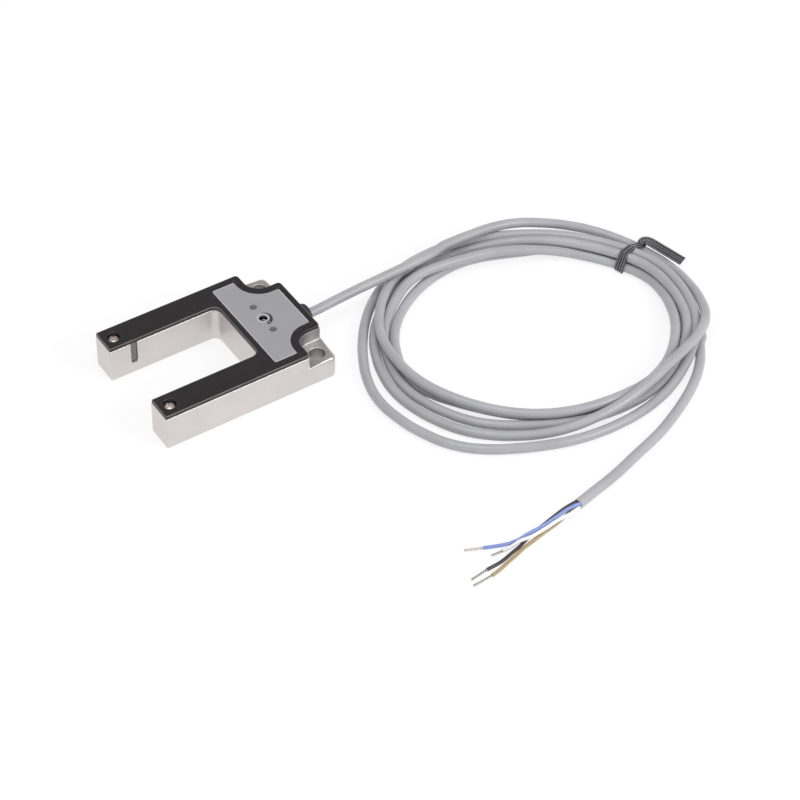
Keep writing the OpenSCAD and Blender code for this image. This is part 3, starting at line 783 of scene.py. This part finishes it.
class FORK_OT_cable(Operator):
    """Lay the cable in its coil, with its gland, its cut end and its twist tie"""
    bl_idname = "fork_barrier.cable"
    bl_label = "Cable"

    # Direction of the twist tie from the coil's centre, and height of its ribs in millimetres
    TIE_ANGLE = math.radians(103)
    RIB = 0.25

    def execute(self, context):
        look = context.scene.fork_cable
        sheath = sheath_finish("cable_sheath", look.sheath)
        route = cable_route(look)
        cable = add_cord("cable", route, look.cable_d, sheath)
        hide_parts("cable_lead", "cable_coil", "cable_tail")
        mouth = self.add_mouth(look, route, sheath)
        tie = self.add_tie(look, route)
        paint("cable_entry", sheath)
        paint("entry_wires", sheath_finish("inner_wires", look.brown))
        gland = rounded_copy("cable_gland", 0.2 * MM, moulded_finish("gland_rubber", look.rubber, 0.6))
        route_length(route)
        return {"FINISHED"}

    def add_mouth(self, look, route, material):
        """Rim of the cut sheath, so that the wires come out of a hollow end."""
        outside = look.cable_d / 2
        inside = 0.72 * outside
        depth = 0.7 * MM
        ahead = (route[-1] - route[-2]).normalized()
        side = ahead.cross(UP).normalized()
        up = side.cross(ahead)
        path = []
        frames = []
        for across, rise in round_profile(1, 40):
            path.append(route[-1].copy())
            frames.append((across * side + rise * up, ahead))
        form = bmesh.new()
        rim = [(inside, 0), (outside, 0), (outside, depth), (inside, depth)]
        sweep(form, path, frames, rim, closed=True)
        return add_piece("sheath_mouth", finished_mesh(form, "sheath_mouth"), material)

    def section(self, route, angle):
        """Where the turns pass one direction of the coil, as radius and height."""
        centre = MM * COIL_CENTRE
        outward = heading(angle)
        across = Vector((-outward.y, outward.x, 0))
        found = []
        for near, far in zip(route, route[1:]):
            a = (near - centre).dot(across)
            b = (far - centre).dot(across)
            if a * b <= 0 and a != b and (near - centre).dot(outward) > 0:
                place = near.lerp(far, a / (a - b)) - centre
                found.append((place.dot(outward), place.z))
        return found

    def add_tie(self, look, route):
        """Twist tie: two ribbed strips around the bundle, a wrapped knot and a loose end."""
        outward = heading(self.TIE_ANGLE)
        along = Vector((outward.y, -outward.x, 0))
        centre = MM * COIL_CENTRE
        turns = self.section(route, self.TIE_ANGLE)
        reach = look.cable_d / 2 + 0.3 * MM
        form = bmesh.new()
        form.verts.layers.float.new("rib")
        for hand in (-1, 1):
            path = []
            frames = []
            for way in round_profile(1, 72):
                radius, height = max(turns, key=lambda turn: turn[0] * way[0] + turn[1] * way[1])
                away = way[0] * outward + way[1] * UP
                lean = MM * (0.5 - 0.7 * way[0])
                spread = MM * (0.8 - 0.25 * way[0])
                place = centre + radius * outward + height * UP + reach * away
                place += (lean + hand * spread) * along
                place.z = max(place.z, MM * self.RIB)
                path.append(place)
                frames.append((along, away))
            self.add_strip(form, path, frames, closed=True)
        outermost = centre + max(radius for radius, _ in turns) * outward
        self.add_loose_end(form, outermost, outward, along)
        tie = add_piece("tie", finished_mesh(form, "tie"), tie_finish(look))
        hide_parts("twist_tie")
        return tie

    def add_strip(self, form, path, frames, closed=False):
        """A flat strip with two ribs, whose vertices on the ribs are marked."""
        half = [(0.9, -0.25), (0.9, 0), (0.68, 0.03), (0.57, self.RIB), (0.43, self.RIB), (0.32, 0.03)]
        profile = half + [(-across, rise) for across, rise in reversed(half)]
        rings = sweep(form, path, frames, [(MM * a, MM * b) for a, b in profile], closed)
        # The rib mark places the painted highlight of the tie's finish.
        rib = form.verts.layers.float["rib"]
        for ring in rings:
            for vert, (_, rise) in zip(ring, profile):
                vert[rib] = rise == self.RIB

    def add_loose_end(self, form, outermost, outward, along):
        """A wound knot, and two strips that leave it side by side."""
        knot = outermost + MM * (0.1 * outward + 0.5 * along + 6.1 * UP)
        winds, wind_steps, knot_l = 2, 24, 1.8
        steps = winds * wind_steps
        places = []
        frames = []
        for step in range(steps + 1):
            turn = 2 * math.pi * step / wind_steps
            away = math.cos(turn) * outward + math.sin(turn) * UP
            places.append(knot + MM * (away + (step / steps - 0.5) * knot_l * along))
            frames.append((along, away))
        self.add_strip(form, places, frames)
        listed = [(-0.1, 0, 5.9), (0.5, 0.2, 6.7), (1.1, 0.7, 7.1), (1.6, 1.6, 7.3), (2, 2.9, 7.2),
                  (2.2, 4.5, 7.1), (2.3, 7, 7), (2.3, 11, 7), (2.3, 15, 7), (2.3, 19, 7)]
        points = [outermost + MM * (a * outward + b * along + c * UP) for a, b, c in listed]
        path = smooth_route(points, 6, 0)
        taper_l = 4 * MM
        tilt = math.radians(-25)
        for hand in (-1, 1):
            places = []
            frames = []
            for i, (side, rise) in enumerate(level_frames(path)):
                share = min(route_length(path[:i + 1]) / taper_l, 1)
                across = math.cos(tilt) * side + math.sin(tilt) * rise
                face = math.cos(tilt) * rise - math.sin(tilt) * side
                places.append(path[i] + hand * MM * (0.5 + 0.42 * share) * across)
                frames.append((across, face))
            self.add_strip(form, places, frames)


class FORK_OT_wires(Operator):
    """Lay the four wires and their bare strands"""
    bl_idname = "fork_barrier.wires"
    bl_label = "Wires"

    def execute(self, context):
        look = context.scene.fork_cable
        tinned = tinned_finish()
        for colour, listed in WIRE_ROUTES.items():
            slot = "wire_" + colour
            material = sheath_finish(colour + "_insulation", getattr(look, colour), 0.34)
            route = smooth_route(in_metres(listed), 3, look.wire_d / 2)
            wire = add_cord(colour + "_wire", route, look.wire_d, material)
            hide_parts(slot)
            tip = self.add_tip(colour, look, tinned)
            route_length(route)
        return {"FINISHED"}

    def add_tip(self, colour, look, material):
        """Bare end: six strands twisted around one."""
        strand = round_profile(look.tip_d / 6, 8)
        reach = look.tip_d / 3
        pitch = 5 * MM
        path = smooth_route(in_metres(TIP_ROUTES[colour]), 10, look.tip_d / 2)
        frames = level_frames(path)
        form = bmesh.new()
        sweep(form, path, frames, strand)
        for number in range(6):
            places = []
            gone = 0
            for i, (place, (side, up)) in enumerate(zip(path, frames)):
                gone += (place - path[max(i - 1, 0)]).length
                turn = 2 * math.pi * (number / 6 + gone / pitch)
                places.append(place + reach * (math.cos(turn) * side + math.sin(turn) * up))
            sweep(form, places, level_frames(places), strand)
        name = colour + "_bare_end"
        tip = add_piece(name, finished_mesh(form, name), material)
        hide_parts("tip_" + colour)
        return tip


class FORK_OT_housing(Operator):
    """Round the casting's edges and give it its plated finish"""
    bl_idname = "fork_barrier.housing"
    bl_label = "Housing"

    # Height of the ears' tops. From the axes of their holes: the bores' edges, the start of the ears'
    # rims towards the middle, and the end of the notches' feet away from it
    EAR_TOP = 9 * MM
    BORE_EDGE = 4 * MM
    RIM_STARTS = 5.7 * MM
    FOOT_ENDS = 4.7 * MM

    def execute(self, context):
        look = context.scene.fork_housing
        rim_y, rim_x = self.inside_holes(self.RIM_STARTS)
        cuts = [((0, rim_y, 0), (0, 1, 0)), ((rim_x, 0, 0), (1, 0, 0)), ((-rim_x, 0, 0), (1, 0, 0))]
        rounded_copy("housing", look.ear_edge, casting_finish(look), segments=4, cuts=cuts,
                     share=lambda edge: self.ear_share(edge, look.metal_edge / look.ear_edge))
        return {"FINISHED"}

    def inside_holes(self, gap):
        """Y and X that lie a gap nearer the middle than the axes of the ear holes."""
        holes = ear_holes()
        return holes["pos_m"][1] - gap, MM * holes["dims"]["spacing_x_mm"] / 2 - gap

    def ear_share(self, edge, edge_share):
        """Share of the rounding that an edge takes: all of it on the rims of the ears.

        The edges of an ear's top stay sharp where it runs out beside a corner above it.
        """
        middle = middle_of(edge)
        if abs(middle.z - self.EAR_TOP) > 0.1 * MM or gap_to_hole(middle) < self.BORE_EDGE:
            return edge_share
        rim_y, rim_x = self.inside_holes(self.RIM_STARTS)
        foot_y, foot_x = self.inside_holes(-self.FOOT_ENDS)
        if edge.is_convex:
            return middle.y > rim_y and abs(middle.x) > rim_x
        return edge_share * (middle.y < foot_y and abs(middle.x) < foot_x)


class FORK_OT_cover(Operator):
    """Round the cover's edges and finish it with its gasket"""
    bl_idname = "fork_barrier.cover"
    bl_label = "Cover"

    # Depth of the plate's upper edges below the cover's top, share of the rounding that edges below
    # them take, and play around the label's box that its pocket lies within
    UPPER = MM
    LOWER_SHARE = 0.5
    POCKET_GAP = 0.3 * MM

    def execute(self, context):
        look = context.scene.fork_cover
        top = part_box("top_cover")[1].z
        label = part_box("label_plate")
        rounded_copy("top_cover", look.plastic_edge, cover_finish(look),
                     share=lambda edge: self.edge_share(edge, top, label))
        paint("cover_gasket", moulded_finish("gasket_rubber", tone(36, 36, 37), 0.7))
        return {"FINISHED"}

    def edge_share(self, edge, top, label):
        """All of the rounding at the cover's top, less of it below, and none in the label's pocket."""
        middle = middle_of(edge)
        if middle.z < top - self.UPPER:
            return self.LOWER_SHARE
        low, high = label
        gap = self.POCKET_GAP
        in_box = all(low[axis] - gap < middle[axis] < high[axis] + gap for axis in range(3))
        return gap_to_hole(middle) < NOTCH_REACH or not in_box


class FORK_OT_label(Operator):
    """Finish the label and print the adjusting arrow on it"""
    bl_idname = "fork_barrier.label"
    bl_label = "Label"

    def execute(self, context):
        look = context.scene.fork_cover
        low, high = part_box("trimmer_rotor")
        rounded_copy("label_plate", 0.08 * MM, label_finish(look, (low + high) / 2), segments=2)
        return {"FINISHED"}


class FORK_OT_screws(Operator):
    """Break the edges of the cover screws and finish them"""
    bl_idname = "fork_barrier.screws"
    bl_label = "Screws"

    def execute(self, context):
        rounded_copy("cover_screws", 0.09 * MM, screw_finish(context.scene.fork_housing), segments=2)
        return {"FINISHED"}


class FORK_OT_windows(Operator):
    """Finish the slit windows and the indicator windows"""
    bl_idname = "fork_barrier.windows"
    bl_label = "Windows"

    def execute(self, context):
        look = context.scene.fork_cover
        dark = moulded_finish("filter_plastic", look.filter, 0.25, grain=0.6 * MM, depth=0.002 * MM)
        for node in ("emitter_window", "receiver_window"):
            rounded_copy(node, 0.1 * MM, dark, segments=2)
        frosted = moulded_finish("frosted_resin", look.window, 0.42, grain=0.15 * MM, Coat_Weight=0.2)
        for node in ("power_light_pipe", "output_light_pipe"):
            rounded_copy(node, 0.12 * MM, frosted, segments=2)
        return {"FINISHED"}


class FORK_OT_trimmer(Operator):
    """Finish the trimmer's rotor, which turns in the label's hole"""
    bl_idname = "fork_barrier.trimmer"
    bl_label = "Trimmer"

    def execute(self, context):
        look = context.scene.fork_cover
        ivory = moulded_finish("rotor_plastic", look.rotor, 0.4, grain=0.2 * MM)
        rounded_copy("trimmer_rotor", 0.12 * MM, ivory, body="trimmer")
        paint("trimmer_body", moulded_finish("trimmer_plastic", tone(40, 78, 168), 0.4))
        return {"FINISHED"}


class FORK_OT_electronics(Operator):
    """Finish the boards and the parts inside the housing"""
    bl_idname = "fork_barrier.electronics"
    bl_label = "Electronics"

    def execute(self, context):
        board = board_finish()
        for node in ("main_board", "emitter_board", "receiver_board"):
            paint(node, board)
        ribbon = ribbon_finish()
        for node in ("emitter_ribbon", "receiver_ribbon"):
            paint(node, ribbon)
        clear = moulded_finish("clear_resin", tone(196, 192, 210), 0.15, Transmission_Weight=0.6)
        paint("emitter_diode", clear)
        paint("receiver_diode", moulded_finish("dark_resin", tone(44, 38, 42), 0.15, Coat_Weight=0.5))
        paint("power_led", moulded_finish("green_resin", tone(120, 200, 120), 0.3))
        paint("output_led", moulded_finish("amber_resin", tone(230, 176, 70), 0.3))
        paint("amplifier_chip", moulded_finish("chip_resin", tone(42, 42, 44), 0.5))
        paint("board_components", moulded_finish("component_shells", tone(186, 170, 138), 0.45))
        return {"FINISHED"}


OPERATORS = (
    FORK_OT_stage, FORK_OT_cable, FORK_OT_wires, FORK_OT_housing, FORK_OT_cover, FORK_OT_label,
    FORK_OT_screws, FORK_OT_windows, FORK_OT_trimmer, FORK_OT_electronics,
)
LOOKS = {
    "fork_housing": HousingLook,
    "fork_cover": CoverLook,
    "fork_cable": CableLook,
    "fork_stage": StageLook,
}


class FORK_PT_sidebar(Panel):
    """Lists the steps that dress the light barrier, and the values that they use"""
    bl_idname = "FORK_PT_sidebar"
    bl_label = "Light barrier"
    bl_space_type = "VIEW_3D"
    bl_region_type = "UI"
    bl_category = "Light barrier"

    def draw(self, context):
        for step in OPERATORS:
            self.layout.operator(step.bl_idname)
        for name, look in LOOKS.items():
            box = self.layout.box()
            box.label(text=look.__doc__)
            for value in look.__annotations__:
                box.prop(getattr(context.scene, name), value)


def register():
    for name, look in LOOKS.items():
        bpy.utils.register_class(look)
        setattr(bpy.types.Scene, name, PointerProperty(type=look))
    for step in OPERATORS:
        bpy.utils.register_class(step)
    bpy.utils.register_class(FORK_PT_sidebar)


def unregister():
    bpy.utils.unregister_class(FORK_PT_sidebar)
    for step in reversed(OPERATORS):
        bpy.utils.unregister_class(step)
    for name, look in LOOKS.items():
        delattr(bpy.types.Scene, name)
        bpy.utils.unregister_class(look)


def main():
    register()
    bpy.ops.fork_barrier.stage()
    bpy.ops.fork_barrier.cable()
    bpy.ops.fork_barrier.wires()
    bpy.ops.fork_barrier.housing()
    bpy.ops.fork_barrier.cover()
    bpy.ops.fork_barrier.label()
    bpy.ops.fork_barrier.screws()
    bpy.ops.fork_barrier.windows()
    bpy.ops.fork_barrier.trimmer()
    bpy.ops.fork_barrier.electronics()


if __name__ == "__main__":
    main()
